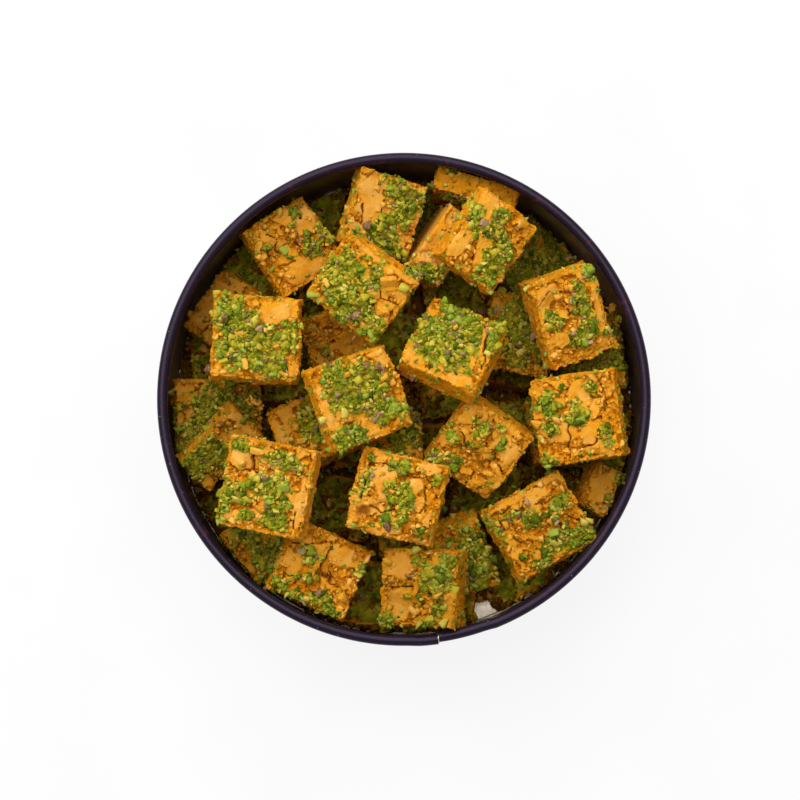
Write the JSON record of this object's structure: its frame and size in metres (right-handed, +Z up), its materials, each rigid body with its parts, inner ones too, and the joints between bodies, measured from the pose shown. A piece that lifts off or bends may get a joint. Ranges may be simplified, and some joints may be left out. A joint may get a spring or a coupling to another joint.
{
  "type": "tin of saffron sweets",
  "caption": "Round straight-walled metal tin with a rolled rim, filled with a loose heap of cut saffron sweets topped with chopped pistachio.",
  "frame": {"origin": "centre of the circle that the tin stands on, at the underside of its standing ring", "axes": "+Z up along the tin's axis; -Y is the front, the lower edge of the picture, where the wall's lap seam is; +X is the picture's right"},
  "size_m": [0.1524, 0.1524, 0.0624],
  "materials": {
    "tin_lacquer": "glossy dark aubergine lacquer with a little burgundy mottling on the rim",
    "tinplate": "bare tinplate, slightly warm, inside and under the tin",
    "saffron_sweet": "crumbly orange saffron sweet, matt to waxy, under green chopped pistachio; matt plastic stands in for the food surface"
  },
  "bodies": {
    "root": {"tin_body": "tin_lacquer", "tin_base": "tinplate", "sweet_top_01": "saffron_sweet", "sweet_top_02": "saffron_sweet", "sweet_top_03": "saffron_sweet", "sweet_top_04": "saffron_sweet", "sweet_top_05": "saffron_sweet", "sweet_top_06": "saffron_sweet", "sweet_top_07": "saffron_sweet", "sweet_top_08": "saffron_sweet", "sweet_top_09": "saffron_sweet", "sweet_top_10": "saffron_sweet", "sweet_top_11": "saffron_sweet", "sweet_top_12": "saffron_sweet", "sweet_top_13": "saffron_sweet", "sweet_top_14": "saffron_sweet", "sweet_top_15": "saffron_sweet", "sweet_top_16": "saffron_sweet", "sweet_top_17": "saffron_sweet", "sweet_mid_01": "saffron_sweet", "sweet_mid_02": "saffron_sweet", "sweet_mid_03": "saffron_sweet", "sweet_mid_04": "saffron_sweet", "sweet_mid_05": "saffron_sweet", "sweet_mid_06": "saffron_sweet", "sweet_mid_07": "saffron_sweet", "sweet_mid_08": "saffron_sweet", "sweet_mid_09": "saffron_sweet", "sweet_mid_10": "saffron_sweet", "sweet_mid_11": "saffron_sweet", "sweet_mid_12": "saffron_sweet", "sweet_mid_13": "saffron_sweet", "sweet_low_01": "saffron_sweet", "sweet_low_02": "saffron_sweet", "sweet_low_03": "saffron_sweet", "sweet_low_04": "saffron_sweet", "sweet_low_05": "saffron_sweet", "sweet_low_06": "saffron_sweet", "sweet_low_07": "saffron_sweet", "sweet_low_08": "saffron_sweet", "sweet_low_09": "saffron_sweet", "sweet_low_10": "saffron_sweet", "sweet_low_11": "saffron_sweet", "sweet_low_12": "saffron_sweet", "sweet_low_13": "saffron_sweet", "sweet_low_14": "saffron_sweet", "sweet_low_15": "saffron_sweet", "sweet_low_16": "saffron_sweet", "sweet_low_17": "saffron_sweet", "sweet_low_18": "saffron_sweet", "sweet_low_19": "saffron_sweet", "sweet_low_20": "saffron_sweet", "sweet_low_21": "saffron_sweet", "sweet_low_22": "saffron_sweet", "sweet_low_23": "saffron_sweet", "sweet_low_24": "saffron_sweet", "sweet_low_25": "saffron_sweet", "sweet_low_26": "saffron_sweet", "sweet_low_27": "saffron_sweet"}
  },
  "joints": []
}
